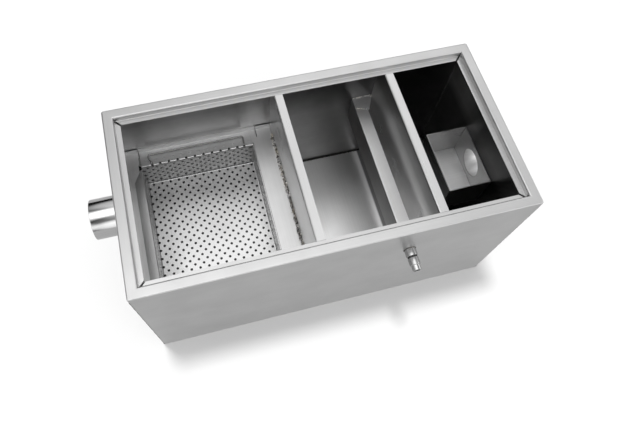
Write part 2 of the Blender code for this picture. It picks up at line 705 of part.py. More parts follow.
def make_grease_fitting():
    """A welded socket in the front wall and the plug screwed into it, on one axis along Y."""
    socket_foot = -HALF_WIDTH - GAP
    mouth = -HALF_WIDTH - SOCKET_LENGTH
    bore = SOCKET_BORE / 2
    outside = SOCKET_DIAMETER / 2
    socket = mesh_of_faces("grease_socket", turned_faces(
        [(bore, socket_foot), (outside, socket_foot), (outside, mouth), (bore, mouth)], "Y", FITTING_SIDES))
    smooth(socket)
    place("grease_socket", socket, metal("socket_steel", (0.62, 0.62, 0.63), 0.30),
          (FITTING_X, 0.0, FITTING_Z))

    mouth_centre = (FITTING_X, mouth, FITTING_Z)
    spigot = bore - SPIGOT_CLEARANCE
    body_start = GAP + SEAL_THICKNESS + GAP
    body_end = body_start + PLUG_LENGTH
    tip_end = body_end + TIP_LENGTH
    body = PLUG_DIAMETER / 2
    tip = TIP_DIAMETER / 2
    profile = [(0.0, -SPIGOT_LENGTH), (spigot, -SPIGOT_LENGTH), (spigot, body_start),
               (body - PLUG_CHAMFER, body_start), (body, body_start + PLUG_CHAMFER),
               (body, body_end - PLUG_CHAMFER), (body - PLUG_CHAMFER, body_end),
               (tip, body_end), (tip, tip_end), (TIP_BORE / 2, tip_end),
               (TIP_BORE / 2, tip_end - TIP_BORE_DEPTH), (0.0, tip_end - TIP_BORE_DEPTH)]
    outward = [(radius, -distance) for radius, distance in profile]
    plug = mesh_of_faces("grease_plug", turned_faces(outward, "Y", FITTING_SIDES))
    smooth(plug)
    place("grease_plug", plug, metal("plug_steel", (0.66, 0.66, 0.67), 0.24), mouth_centre)

    seal_inner = spigot + GAP
    seal_outer = SEAL_DIAMETER / 2
    seal_start = -GAP
    seal_end = seal_start - SEAL_THICKNESS
    seal = mesh_of_faces("plug_seal", turned_faces(
        [(seal_inner, seal_start), (seal_outer, seal_start), (seal_outer, seal_end), (seal_inner, seal_end)],
        "Y", FITTING_SIDES))
    smooth(seal)
    place("plug_seal", seal, metal("seal_rubber", (0.03, 0.03, 0.03), 0.6, 0.0), mouth_centre)


remove_scene_objects()
make_walls()
make_base_plate()
make_partition("partition_1", PARTITION_1_X, UNDERFLOW_1)
make_partition("partition_2", PARTITION_2_X, UNDERFLOW_2)
make_baffle()
make_shelf()
make_basket()
make_handle()
make_pipe("inlet_pipe", -INNER_HALF_LENGTH, -HALF_LENGTH - PIPE_REACH, INLET_Z)
make_pipe("outlet_pipe", INNER_HALF_LENGTH, HALF_LENGTH + PIPE_REACH, OUTLET_Z)
make_outlet_box()
make_grease_fitting()
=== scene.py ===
"""Looks of the stainless steel grease trap, in the frame of its CAD part. All sizes are in metres."""

import math
import random

import bmesh
import bpy
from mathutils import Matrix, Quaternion, Vector
from mathutils.geometry import delaunay_2d_cdt


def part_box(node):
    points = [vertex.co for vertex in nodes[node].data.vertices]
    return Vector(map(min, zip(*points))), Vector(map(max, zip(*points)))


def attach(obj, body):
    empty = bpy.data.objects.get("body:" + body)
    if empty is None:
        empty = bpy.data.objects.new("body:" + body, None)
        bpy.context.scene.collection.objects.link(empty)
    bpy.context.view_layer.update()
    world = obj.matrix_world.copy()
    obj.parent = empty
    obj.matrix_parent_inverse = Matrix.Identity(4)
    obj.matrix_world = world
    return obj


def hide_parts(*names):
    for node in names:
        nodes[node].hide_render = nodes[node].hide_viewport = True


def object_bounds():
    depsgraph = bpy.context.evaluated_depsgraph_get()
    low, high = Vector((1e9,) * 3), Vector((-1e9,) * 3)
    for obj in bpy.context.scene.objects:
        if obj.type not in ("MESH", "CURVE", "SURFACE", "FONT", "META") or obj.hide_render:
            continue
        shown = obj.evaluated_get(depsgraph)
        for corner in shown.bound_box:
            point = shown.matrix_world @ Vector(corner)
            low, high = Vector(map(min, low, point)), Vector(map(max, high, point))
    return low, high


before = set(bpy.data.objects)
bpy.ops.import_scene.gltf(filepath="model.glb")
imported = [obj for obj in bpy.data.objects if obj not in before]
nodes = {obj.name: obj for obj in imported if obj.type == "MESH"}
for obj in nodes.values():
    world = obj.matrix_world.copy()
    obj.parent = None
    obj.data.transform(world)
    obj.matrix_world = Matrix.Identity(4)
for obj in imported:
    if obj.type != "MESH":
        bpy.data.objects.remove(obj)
CAD_LOW, CAD_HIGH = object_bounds()

# Camera, fitted to the photograph's box edges
CAMERA_PLACE = Vector((-0.1677, -0.3751, 1.0359))
CAMERA_LOOK = Vector((0.14381, 0.41317, -0.89923))
CAMERA_ROLL = math.radians(5.18)
CAMERA_LENS_MM = 33.0
CAMERA_SHIFT = (0.0302, -0.0540)

# Light: soft panels overhead as (tilt from the zenith, turn from +X, level), and the paper's lamp
SOFT_PANELS = ((0, 0, 2.0), (25, 60, 0.4), (25, 180, 1.9), (25, 300, 0.5), (48, 0, 0.15), (48, 45, 1.1),
               (48, 90, 1.0), (48, 180, 0.8), (48, 270, 0.3), (48, 315, 0.6), (72, 0, 2.0), (72, 180, 0.6),
               (72, 225, 1.8), (72, 270, 1.8), (72, 315, 1.8))
PANEL_EDGE = math.radians(30)
ROOM_LEVEL = 0.0
LAMP_FROM = Vector((-0.06, 0.14, 1.0))
LAMP_WIDTH = math.radians(8)
LAMP_POWER = 2.6
FLOOR_TONE = 0.56
FLOOR_GLOW = 0.06
MIRRORED_TONE = 0.08
MIRRORED_GLOW = 0.46

# Tank panels
WALL_SHEET = 0.0015
WALL_BEND = 0.0008
CORNER_RADIUS = 0.0035
RIM_WIDTH = 0.0163
STEP_DEPTH = 0.010
LEDGE_MITRE_GAP = 0.0028
CORNER_TURN = math.radians(45)
CORNER_STEPS = 6
CUTTER_SIDES = 64
CUTTER_REACH = 0.02
SHARP_ANGLE = math.radians(30)
EDGE_BREAK = 0.00035
EDGE_BREAK_ANGLE = math.radians(60)

# Areas of painted shade on a finish, and one that lifts it back: axis, where it starts, where it is full,
# and its share there
ZONE_BLEND = 0.003
PARTITION_SHADE = 0.46
FIRST_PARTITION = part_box("partition_1")[0].x
SECOND_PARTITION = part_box("partition_2")[0].x
# Painted shade on the inner walls past the first partition, in the deeper chambers
DEEP_SHADE_ZONE = ("X", FIRST_PARTITION, FIRST_PARTITION + ZONE_BLEND, 0.42)
# Painted shade on the floor under the basket and in the outlet chamber
FLOOR_SHADE_ZONES = [("X", FIRST_PARTITION + ZONE_BLEND, FIRST_PARTITION, 0.25),
               ("X", SECOND_PARTITION, SECOND_PARTITION + ZONE_BLEND, 0.22)]

# Inner face of each panel: tone, roughness and zones. The left's lighter tone is painted light, the front's
# darker one painted shade, and the zones are painted shade
INNER_FINISH_AND_SHADE = {"front": (0.55, 0.25, [DEEP_SHADE_ZONE]), "left": (0.80, 0.28, []),
                # Painted shade on the right inside, darker towards the front and the bottom; on the back
                # inside, darker past the first partition and near the top
                "right": (0.66, 0.34, [("Y", 0.08, 0.02, 0.15), ("Z", 0.215, 0.190, 0.35)]),
                "back": (0.62, 0.32, [DEEP_SHADE_ZONE, ("Z", 0.180, 0.245, 0.42)])}
BOX_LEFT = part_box("outlet_box_wrap")[0].x
# Painted shade on the base plate, on the outlet box's left wall, and on partition_2 in a band under its top
NODE_SHADE_ZONES = {"base_plate": FLOOR_SHADE_ZONES,
              "outlet_box_wrap": [("X", BOX_LEFT + 0.0011, BOX_LEFT + 0.0002, 0.20)],
              "partition_2": [("Z", 0.235, 0.262, PARTITION_SHADE),
                              ("Z", 0.2880, 0.2890, 1 / PARTITION_SHADE)]}

# Welds: half the width of each bead
CORNER_BEAD = 0.0010
FOOT_BEAD = 0.0028
SHELF_BEAD = 0.0032
RING_BEAD = 0.0011
SOCKET_BEAD = 0.0009
BEAD_SIDES = 8
LOWER_SHELF_WELD_RISE = 0.0044
LOWER_SHELF_WELD_END = 0.019
UPPER_SHELF_WELD_RISE = 0.0074
UPPER_SHELF_WELD_SHIFT = 0.0010
UPPER_SHELF_WELD_BACK_END = 0.023
UPPER_SHELF_WELD_FRONT_END = 0.04
PARTITION_WELD_START = 0.002
BAFFLE_WELD_DROP = 0.004
GUSSET_WELD_LEFT = 0.001
GUSSET_WELD_SLANT = 0.0078
GUSSET_WELD_RIGHT = 0.013
GUSSET_SIDE_WELD = 0.004
GUSSET_WELD_SINK = 0.0005
BEAD_COVER = 0.0004
BEAD_REACH_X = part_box("right_wall")[1].x - BEAD_COVER
BEAD_REACH_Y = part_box("back_wall")[1].y - BEAD_COVER

# Basket sheet
SHEET = 0.0012
FLOOR_BEND = 0.0016
FLANGE_BEND = 0.0008
BACK_FLANGE = 0.0182
BACK_FLANGE_OVERLAP = 0.0023
LEFT_FLANGE = 0.0143
LEFT_FLANGE_INSET = 0.0046
LEFT_FLANGE_CHAMFER = 0.0224
CORNER_RELIEF = 0.0022
WALL_EDGE_GAP = 0.00005
HOLE_DIAMETER = 0.0045
HOLE_PITCH = 0.015
ROW_PITCH = 0.0075
FIRST_HOLE_INSET = 0.009
FIRST_ROW_INSET = 0.0044
HOLE_SIDES = 16
HOLE_MARGIN = 0.0004
HOLE_ROWS = range(-12, 44)
HOLE_COLUMNS = range(-7, 34)
BEND_STEPS = 5

# Shelf and socket
SHELF_LIP = 0.010
PLUG_BORE = 0.014

# Round pieces, each with the form of its solid and finer facets
PIPE_WALL = 0.003
PIPE_RIM_RADIUS = 0.0007
PIPE_SIDES = 96
SPIGOT_LENGTH = 0.010
SPIGOT_CLEARANCE = 0.0003
SEAL_SPACE = 0.0021
PLUG_LENGTH = 0.0124
PLUG_CHAMFER = 0.0008
TIP_DIAMETER = 0.0136
TIP_BORE = 0.0092
TIP_BORE_DEPTH = 0.006
FITTING_EDGE = 0.0003
FITTING_SIDES = 64
RIM_STEPS = 4

# Basket handle
HANDLE_WIRE = 0.003
HANDLE_BEND = 0.0022
HANDLE_CORNER = 0.004
HANDLE_REACH = 0.0179
HANDLE_LEFT_SPLAY = 0.0065
HANDLE_RIGHT_SPLAY = 0.0013
HANDLE_END = 0.010
HANDLE_LEFT_INSET = 0.0179
HANDLE_RIGHT_INSET = 0.0156
HANDLE_SLOT_WIDTH = 0.004
FIT_GAP = 0.0003


def link(name, data):
    made = bpy.data.objects.new(name, data)
    bpy.context.scene.collection.objects.link(made)
    return made


def finish_piece(piece, body, material):
    piece.data.materials.clear()
    piece.data.materials.append(material)
    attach(piece, body)


class Graph:
    """Short ways to add and join shader nodes."""

    def __init__(self, tree):
        self.tree = tree

    def add(self, kind, **values):
        node = self.tree.nodes.new(kind)
        for key, value in values.items():
            setattr(node, key, value)
        return node

    def join(self, source, target):
        self.tree.links.new(source, target)

    def coordinates(self, scale):
        place = self.add("ShaderNodeTexCoord")
        mapping = self.add("ShaderNodeMapping")
        mapping.inputs["Scale"].default_value = scale
        self.join(place.outputs["Object"], mapping.inputs["Vector"])
        return mapping.outputs["Vector"]

    def noise(self, scale, detail=3.0, rough=0.5):
        texture = self.add("ShaderNodeTexNoise")
        texture.inputs["Scale"].default_value = 1.0
        texture.inputs["Detail"].default_value = detail
        texture.inputs["Roughness"].default_value = rough
        self.join(self.coordinates(scale), texture.inputs["Vector"])
        return texture.outputs["Fac"]

    def ranged(self, value, low, high, start=0.3, end=0.7):
        node = self.add("ShaderNodeMapRange")
        node.inputs["From Min"].default_value = start
        node.inputs["From Max"].default_value = end
        node.inputs["To Min"].default_value = low
        node.inputs["To Max"].default_value = high
        self.join(value, node.inputs["Value"])
        return node.outputs["Result"]

    def math(self, kind, a, b):
        node = self.add("ShaderNodeMath", operation=kind)
        for socket, value in zip(node.inputs, (a, b)):
            if isinstance(value, (int, float)):
                socket.default_value = value
            else:
                self.join(value, socket)
        return node.outputs[0]


def brushed_steel(name, tone, roughness, along, grain=0.02, smudge=0.05, bump=0.01, painted_side_shade=None,
                  shade_zones=()):
    """Steel with fine lines along one axis, cloudy smudges and a slightly uneven surface.

    The side tone is a painted shade on upright faces, darker than faces that look up. Each zone is an axis,
    the place where an area of painted shade, or of light that lifts it, starts, the place where it is full,
    and its share.
    """
    material = bpy.data.materials.new(name)
    material.use_nodes = True
    graph = Graph(material.node_tree)
    shader = material.node_tree.nodes["Principled BSDF"]
    shader.inputs["Metallic"].default_value = 1.0
    fine = [900.0, 900.0, 900.0]
    wide = [420.0, 420.0, 420.0]
    axis = "XYZ".index(along)
    fine[axis] = 12.0
    wide[axis] = 3.0
    lines = graph.noise(fine, 4.0, 0.6)
    bands = graph.noise(wide, 3.0, 0.55)
    clouds = graph.noise((14.0, 14.0, 14.0), 3.0, 0.55)
    mix = graph.math('MULTIPLY', graph.ranged(lines, 1 - grain, 1 + grain),
                     graph.ranged(bands, 1 - grain, 1 + grain))
    mix = graph.math('MULTIPLY', mix, graph.ranged(clouds, 1 - smudge, 1 + smudge / 3))
    # Painted shade: upright faces get the side tone, faces that look up the full tone
    if painted_side_shade is not None:
        facing = graph.add("ShaderNodeSeparateXYZ")
        graph.join(graph.add("ShaderNodeNewGeometry").outputs["True Normal"], facing.inputs[0])
        tone = graph.ranged(facing.outputs["Z"], painted_side_shade, tone, 0.2, 0.8)
    # Painted shade, and its lifting, in areas along an axis
    for axis, start, full, share in shade_zones:
        where = graph.add("ShaderNodeSeparateXYZ")
        graph.join(graph.coordinates((1.0, 1.0, 1.0)), where.inputs[0])
        tone = graph.math('MULTIPLY', graph.ranged(where.outputs[axis], 1.0, share, start, full), tone)
    value = graph.math('MULTIPLY', mix, tone)
    colour = graph.add("ShaderNodeCombineColor")
    for channel in ("Red", "Green", "Blue"):
        graph.join(value, colour.inputs[channel])
    graph.join(colour.outputs["Color"], shader.inputs["Base Color"])
    rough = graph.math('ADD', graph.ranged(lines, -0.02, 0.02),
                       graph.ranged(clouds, roughness + 0.04, roughness - 0.03))
    graph.join(rough, shader.inputs["Roughness"])
    relief = graph.add("ShaderNodeBump")
    relief.inputs["Strength"].default_value = bump
    relief.inputs["Distance"].default_value = 0.0004
    graph.join(lines, relief.inputs["Height"])
    graph.join(relief.outputs["Normal"], shader.inputs["Normal"])
    return material


def mesh_of_faces(name, faces):
    """A mesh of faces given by their corner points; corners in one place become one vertex."""
    grid = 1e-7
    mesh = bpy.data.meshes.new(name)
    builder = bmesh.new()
    corners = {}
    for face in faces:
        loop = []
        for point in map(Vector, face):
            key = tuple(round(value / grid) for value in point)
            if key not in corners:
                corners[key] = builder.verts.new(point)
            if corners[key] not in loop:
                loop.append(corners[key])
        if len(loop) > 2:
            builder.faces.new(loop)
    bmesh.ops.recalc_face_normals(builder, faces=builder.faces)
    builder.to_mesh(mesh)
    builder.free()
    mesh.shade_smooth()
    mesh.set_sharp_from_angle(angle=SHARP_ANGLE)
    return mesh


def folded_section(corners, thickness, bend_radius):
    """Section of a folded sheet, as pairs of points that face each other through the sheet.

    The corners are those of the left face, seen along the path, with its bends still sharp.
    """
    corners = [Vector(corner) for corner in corners]

    def left_of(direction):
        return Vector((-direction.y, direction.x))

    first = (corners[1] - corners[0]).normalized()
    last = (corners[-1] - corners[-2]).normalized()
    pairs = [(corners[0], corners[0] - thickness * left_of(first))]
    for before, corner, after in zip(corners, corners[1:], corners[2:]):
        arriving = (corner - before).normalized()
        leaving = (after - corner).normalized()
        turn = math.atan2(arriving.cross(leaving), arriving.dot(leaving))
        side = math.copysign(1.0, turn)
        left_radius = bend_radius if side > 0 else bend_radius + thickness
        right_radius = bend_radius + thickness if side > 0 else bend_radius
        start = corner - arriving * left_radius * math.tan(abs(turn) / 2)
        spoke = -side * left_of(arriving)
        centre = start - spoke * left_radius
        for step in range(BEND_STEPS + 1):
            part = turn * step / BEND_STEPS
            turned = Vector((spoke.x * math.cos(part) - spoke.y * math.sin(part),
                             spoke.x * math.sin(part) + spoke.y * math.cos(part)))
            pairs.append((centre + turned * left_radius, centre + turned * right_radius))
    pairs.append((corners[-1], corners[-1] - thickness * left_of(last)))
    return pairs


def swept_faces(pairs, stations):
    """A folded section carried through stations, each of which puts a section point in space."""
    faces = []
    for near, far in zip(stations, stations[1:]):
        for (left_a, right_a), (left_b, right_b) in zip(pairs, pairs[1:]):
            faces.append([near(left_a), near(left_b), far(left_b), far(left_a)])
            faces.append([near(right_a), near(right_b), far(right_b), far(right_a)])
        for left, right in (pairs[0], pairs[-1]):
            faces.append([near(left), near(right), far(right), far(left)])
    for station in (stations[0], stations[-1]):
        for (left_a, right_a), (left_b, right_b) in zip(pairs, pairs[1:]):
            faces.append([station(left_a), station(left_b), station(right_b), station(right_a)])
    return faces


def panel_station(middle, along, half_length, height, end, turn):
    """Puts a point of a panel's section at one end of the panel, part of the way round the corner."""
    inward = Vector((-along.y, along.x, 0.0))

    def station(point):
        inset, up = point
        if inset < CORNER_RADIUS:
            reach = CORNER_RADIUS - inset
            from_end = CORNER_RADIUS - reach * math.sin(turn)
            depth = CORNER_RADIUS - reach * math.cos(turn)
        else:
            from_end = inset + CORNER_RADIUS * (1 - turn / CORNER_TURN)
            depth = inset
        if turn == CORNER_TURN and inset > RIM_WIDTH - 2 * WALL_SHEET and up < height - 2 * WALL_SHEET:
            from_end += LEDGE_MITRE_GAP / math.sqrt(2)
        return middle + along * end * (half_length - from_end) + inward * depth + Vector((0, 0, up))

    return station


def turned_piece(name, node, profile, edge_radius, axis, sides):
    """A profile of (radius, place along the axis) with rounded corners, turned round its solid's axis."""
    low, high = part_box(node)
    middle = (low + high) / 2
    start = (Vector(profile[0]) + Vector(profile[-1])) / 2
    corners = [start] + [Vector(point) for point in profile] + [start]
    radii = [edge_radius if radius > 0 else 0.0 for radius, _ in profile]
    section = []
    for point in rounded_path(corners, radii, RIM_STEPS):
        if not section or (point - section[-1]).length > 1e-6:
            section.append(point)

    def placed(point, turn):
        across, up = point.x * math.cos(turn), point.x * math.sin(turn)
        if axis == "X":
            return (point.y, middle.y + across, middle.z + up)
        return (middle.x + across, point.y, middle.z + up)

    turns = [2 * math.pi * k / sides for k in range(sides)]
    faces = []
    for turn, following in zip(turns, turns[1:] + turns[:1]):
        for near, far in zip(section, section[1:] + section[:1]):
            faces.append([placed(near, turn), placed(far, turn),
                          placed(far, following), placed(near, following)])
    piece = link(name, mesh_of_faces(name, faces))
    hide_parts(node)
    return piece


def make_round_pieces():
    """The two pipe stubs, and the socket and plug of the grease fitting."""
    # The outlet tube's lighter tone is painted light in its bore, inside the dark box
    for node, name, tone, roughness in (("inlet_pipe", "inlet_tube", 0.62, 0.14),
                                        ("outlet_pipe", "outlet_tube", 0.78, 0.36)):
        low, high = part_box(node)
        outside = (high.z - low.z) / 2
        bore = outside - PIPE_WALL
        profile = [(bore, low.x), (outside, low.x), (outside, high.x), (bore, high.x)]
        tube = turned_piece(name, node, profile, PIPE_RIM_RADIUS, "X", PIPE_SIDES)
        finish_piece(tube, "tank",
                     brushed_steel(name + "_finish", tone, roughness, "X", 0.03))

    low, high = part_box("grease_socket")
    outside, bore, mouth = (high.x - low.x) / 2, PLUG_BORE / 2, low.y
    socket = turned_piece("socket_ring", "grease_socket",
                          [(bore, high.y), (outside, high.y), (outside, mouth), (bore, mouth)],
                          FITTING_EDGE, "Y", FITTING_SIDES)
    finish_piece(socket, "tank", brushed_steel("socket_finish", 0.45, 0.20, "Z"))

    low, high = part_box("grease_plug")
    body, tip, hollow = (high.x - low.x) / 2, TIP_DIAMETER / 2, TIP_BORE / 2
    spigot = bore - SPIGOT_CLEARANCE
    body_start = mouth - SEAL_SPACE
    body_end = body_start - PLUG_LENGTH
    profile = [(0.0, mouth + SPIGOT_LENGTH), (spigot, mouth + SPIGOT_LENGTH), (spigot, body_start),
               (body - PLUG_CHAMFER, body_start), (body, body_start - PLUG_CHAMFER),
               (body, body_end + PLUG_CHAMFER), (body - PLUG_CHAMFER, body_end), (tip, body_end),
               (tip, low.y), (hollow, low.y), (hollow, low.y + TIP_BORE_DEPTH),
               (0.0, low.y + TIP_BORE_DEPTH)]
    plug = turned_piece("plug_screw", "grease_plug", profile, FITTING_EDGE, "Y", FITTING_SIDES)
    finish_piece(plug, "plug", brushed_steel("plug_finish", 0.45, 0.16, "Z"))


def bored(piece, centre, radius, axis):
    """A round hole along X or Y through a piece."""
    ring = circle((0.0, 0.0), radius, CUTTER_SIDES)
    ends = []
    for shift in (-CUTTER_REACH, CUTTER_REACH):
        ends.append([centre + (Vector((shift, a, b)) if axis == "X" else Vector((a, shift, b)))
                     for a, b in ring])
    faces = [ends[0], ends[1]]
    for k in range(CUTTER_SIDES):
        following = (k + 1) % CUTTER_SIDES
        faces.append([ends[0][k], ends[0][following], ends[1][following], ends[1][k]])
    cutter = link("hole_cutter", mesh_of_faces("hole_cutter", faces))
    modifier = piece.modifiers.new("hole", 'BOOLEAN')
    modifier.solver = 'EXACT'
    modifier.object = cutter
    with bpy.context.temp_override(object=piece, active_object=piece):
        bpy.ops.object.modifier_move_to_index(modifier=modifier.name, index=0)
        bpy.ops.object.modifier_apply(modifier=modifier.name)
    bpy.data.objects.remove(cutter)


def make_panels():
    """The tank's four sides with their rims welded shut at the corners and open mitres in the ledge."""
    height = CAD_HIGH.z
    half_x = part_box("right_wall")[1].x
    half_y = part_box("back_wall")[1].y
    ledge_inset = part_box("left_wall")[1].x + half_x
    section = folded_section(
        [(0.0, 0.0), (0.0, height), (RIM_WIDTH, height), (RIM_WIDTH, height - STEP_DEPTH),
         (ledge_inset, height - STEP_DEPTH)], WALL_SHEET, WALL_BEND)
    sides = {"front": ((0, -half_y, 0), (1, 0, 0), half_x), "back": ((0, half_y, 0), (-1, 0, 0), half_x),
             "left": ((-half_x, 0, 0), (0, -1, 0), half_y), "right": ((half_x, 0, 0), (0, 1, 0), half_y)}
    panels = {}
    for side, (middle, along, half_length) in sides.items():
        middle, along = Vector(middle), Vector(along)
        turns = [CORNER_TURN * (1 - step / CORNER_STEPS) for step in range(CORNER_STEPS + 1)]
        stations = [panel_station(middle, along, half_length, height, -1, turn) for turn in turns]
        stations += [panel_station(middle, along, half_length, height, 1, turn) for turn in reversed(turns)]
        panel = link(side + "_panel", mesh_of_faces(side + "_panel", swept_faces(section, stations)))
        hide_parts(side + "_wall")
        panels[side] = panel
        fair = panel.modifiers.new("flat_faces", 'WEIGHTED_NORMAL')
        fair.keep_sharp = True
        fair.weight = 100
    for side, pipe in (("left", "inlet_pipe"), ("right", "outlet_pipe")):
        low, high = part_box(pipe)
        centre = (low + high) / 2
        centre.x = -half_x if side == "left" else half_x
        bored(panels[side], centre, (high.z - low.z) / 2, "X")
    low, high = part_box("grease_socket")
    bored(panels["front"], Vector(((low.x + high.x) / 2, -half_y, (low.z + high.z) / 2)), PLUG_BORE / 2, "Y")
    for side, panel in panels.items():
        along = "X" if side in ("front", "back") else "Y"
        middle, inward = Vector(sides[side][0]), -Vector(sides[side][0]).normalized()
        finish_piece(panel, "tank", brushed_steel(side + "_finish", 0.62, 0.36, along))
        tone, roughness, shade_zones = INNER_FINISH_AND_SHADE[side]
        panel.data.materials.append(brushed_steel(side + "_inside", tone, roughness, along, 0.02, 0.16,
                                                  shade_zones=shade_zones))
        for face in panel.data.polygons:
            depth = (face.center - middle).dot(inward)
            if face.normal.dot(inward) > 0.7 and depth < 2 * WALL_SHEET:
                face.material_index = 1


def uneven_bead(route, radius, seed, pitch=0.0016, wander=0.12):
    """Faces of a bead along a route: rings that swell with each ripple and wander a little."""
    chance = random.Random(seed)
    route = [Vector(point) for point in route]
    centres = []
    for start, end in zip(route, route[1:]):
        count = max(2, round((end - start).length / (pitch / 2)))
        centres += [start.lerp(end, k / count) for k in range(count)]
    closed = (route[0] - route[-1]).length < 1e-6
    if not closed:
        centres.append(route[-1])
    rings = []
    for k, centre in enumerate(centres):
        before = centres[k - 1] if k or closed else centre
        after = centres[(k + 1) % len(centres)] if k + 1 < len(centres) or closed else centre
        forward = (after - before).normalized()
        across = forward.cross(Vector((0.3, 0.5, 0.81))).normalized()
        up = forward.cross(across)
        size = radius * (1 + (0.10 if k % 2 else -0.06) + chance.uniform(-wander, wander))
        if not closed and k in (0, len(centres) - 1):
            size *= 0.35
        shift = (across * chance.uniform(-1, 1) * radius * wander
                 + up * chance.uniform(-1, 1) * radius * wander)
        rings.append([centre + shift + across * size * math.cos(a) + up * size * math.sin(a)
                      for a in (2 * math.pi * side / BEAD_SIDES for side in range(BEAD_SIDES))])
    faces = []
    spans = list(zip(rings, rings[1:])) + ([(rings[-1], rings[0])] if closed else [])
    for near, far in spans:
        for side in range(BEAD_SIDES):
            following = (side + 1) % BEAD_SIDES
            faces.append([near[side], near[following], far[following], far[side]])
    if not closed:
        faces += [rings[0], rings[-1]]
    return faces


def ring_route(centre, radius, axis, count=48):
    route = []
    for k in range(count):
        a, b = radius * math.cos(2 * math.pi * k / count), radius * math.sin(2 * math.pi * k / count)
        route.append(Vector(centre) + (Vector((0, a, b)) if axis == "X" else Vector((a, 0, b))))
    return route + [route[0]]


def inside_sheets(point, most_x=BEAD_REACH_X):
    """A bead's point, held back so that it never comes through the tank's sheets."""
    return Vector((max(-BEAD_REACH_X, min(most_x, point.x)), max(-BEAD_REACH_Y, min(BEAD_REACH_Y, point.y)),
                   max(BEAD_COVER, point.z)))


def weld_piece(name, beads, material, outside=False, most_x=BEAD_REACH_X):
    """Beads as one piece of the tank; each is a route, a radius, a ripple pitch and a wander."""
    faces = []
    for seed, (route, radius, pitch, wander) in enumerate(beads):
        faces += uneven_bead(route, radius, seed + len(name), pitch, wander)
    if not outside:
        faces = [[inside_sheets(point, most_x) for point in face] for face in faces]
    piece = link(name, mesh_of_faces(name, faces))
    finish_piece(piece, "tank", material)


def make_welds():
    """Beads along the seams, as rough as the photograph shows them."""
    wall_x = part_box("right_wall")[1].x - WALL_SHEET
    wall_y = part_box("back_wall")[1].y - WALL_SHEET
    under_ledge = CAD_HIGH.z - STEP_DEPTH - WALL_SHEET
    floor_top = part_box("base_plate")[1].z
    corners = [(x, y) for x in (-wall_x, wall_x) for y in (-wall_y, wall_y)]
    foot = [(-wall_x, -wall_y, floor_top), (wall_x, -wall_y, floor_top), (wall_x, wall_y, floor_top),
            (-wall_x, wall_y, floor_top), (-wall_x, -wall_y, floor_top)]
    # The foot bead is a real weld; its near-black tone is painted shade in the corner along the floor
    weld_piece("foot_weld", [(foot, FOOT_BEAD, 0.0020, 0.15)], weld_steel("foot_weld_finish", 0.10, 0.5))

    beads = [([(x, y, floor_top), (x, y, under_ledge)], CORNER_BEAD, 0.0016, 0.12) for x, y in corners]
    for node, clear in (("partition_1", 0.0), ("partition_2", 0.0), ("baffle", BAFFLE_WELD_DROP)):
        low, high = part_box(node)
        top = min(under_ledge, high.z - clear)
        for y in (-wall_y, wall_y):
            x = low.x + WALL_SHEET
            beads.append(([(x, y, low.z + PARTITION_WELD_START), (x, y, top)], CORNER_BEAD, 0.0016, 0.12))
    for pipe, places in (("inlet_pipe", (-wall_x - WALL_SHEET, -wall_x)),
                         ("outlet_pipe", (wall_x + WALL_SHEET,))):
        low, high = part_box(pipe)
        for x in places:
            ring = ring_route((x, 0, (low.z + high.z) / 2), (high.z - low.z) / 2, "X")
            beads.append((ring, RING_BEAD, 0.0016, 0.12))
    low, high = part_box("grease_socket")
    ring = ring_route(((low.x + high.x) / 2, high.y, (low.z + high.z) / 2), (high.x - low.x) / 2, "Y")
    beads.append((ring, SOCKET_BEAD, 0.0014, 0.12))
    weld_piece("seam_weld", beads, weld_steel("seam_weld_finish", 0.22, 0.42), outside=True)

    seam_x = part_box("partition_1")[0].x
    shelf_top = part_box("basket_shelf")[1].z - SHELF_LIP
    lower_z = shelf_top + LOWER_SHELF_WELD_RISE
    lower = [(seam_x, wall_y - LOWER_SHELF_WELD_END, lower_z),
             (seam_x, -wall_y + LOWER_SHELF_WELD_END, lower_z)]
    upper_x = seam_x + UPPER_SHELF_WELD_SHIFT
    upper_z = shelf_top + UPPER_SHELF_WELD_RISE
    upper = [(upper_x, wall_y - UPPER_SHELF_WELD_BACK_END, upper_z),
             (upper_x, -wall_y + UPPER_SHELF_WELD_FRONT_END, upper_z)]
    weld_piece("shelf_weld", [(lower, SHELF_BEAD, 0.0026, 0.45), (upper, 0.7 * SHELF_BEAD, 0.0034, 0.6)],
               weld_steel("shelf_weld_finish", 0.64, 0.36, 0.10), most_x=seam_x + WALL_SHEET / 2)

    low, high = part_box("baffle_gusset")
    top = high.z
    step = Vector((0, 0, -GUSSET_WELD_SINK))
    back_seam = [(low.x, wall_y, top), (high.x, wall_y, top)]
    side_seam = [(high.x, wall_y - GUSSET_SIDE_WELD, top), (high.x, wall_y, top)]
    short_front = [Vector((low.x + GUSSET_WELD_LEFT, low.y + GUSSET_WELD_SLANT, top)) + step,
                   Vector((high.x - GUSSET_WELD_RIGHT, low.y, top)) + step]
    weld_piece("gusset_weld", [(back_seam, 0.0014, 0.0018, 0.3), (side_seam, 0.0018, 0.0018, 0.4),
                               (short_front, 0.0009, 0.0016, 0.4)],
               weld_steel("gusset_weld_finish", 0.66, 0.30, 0.25))


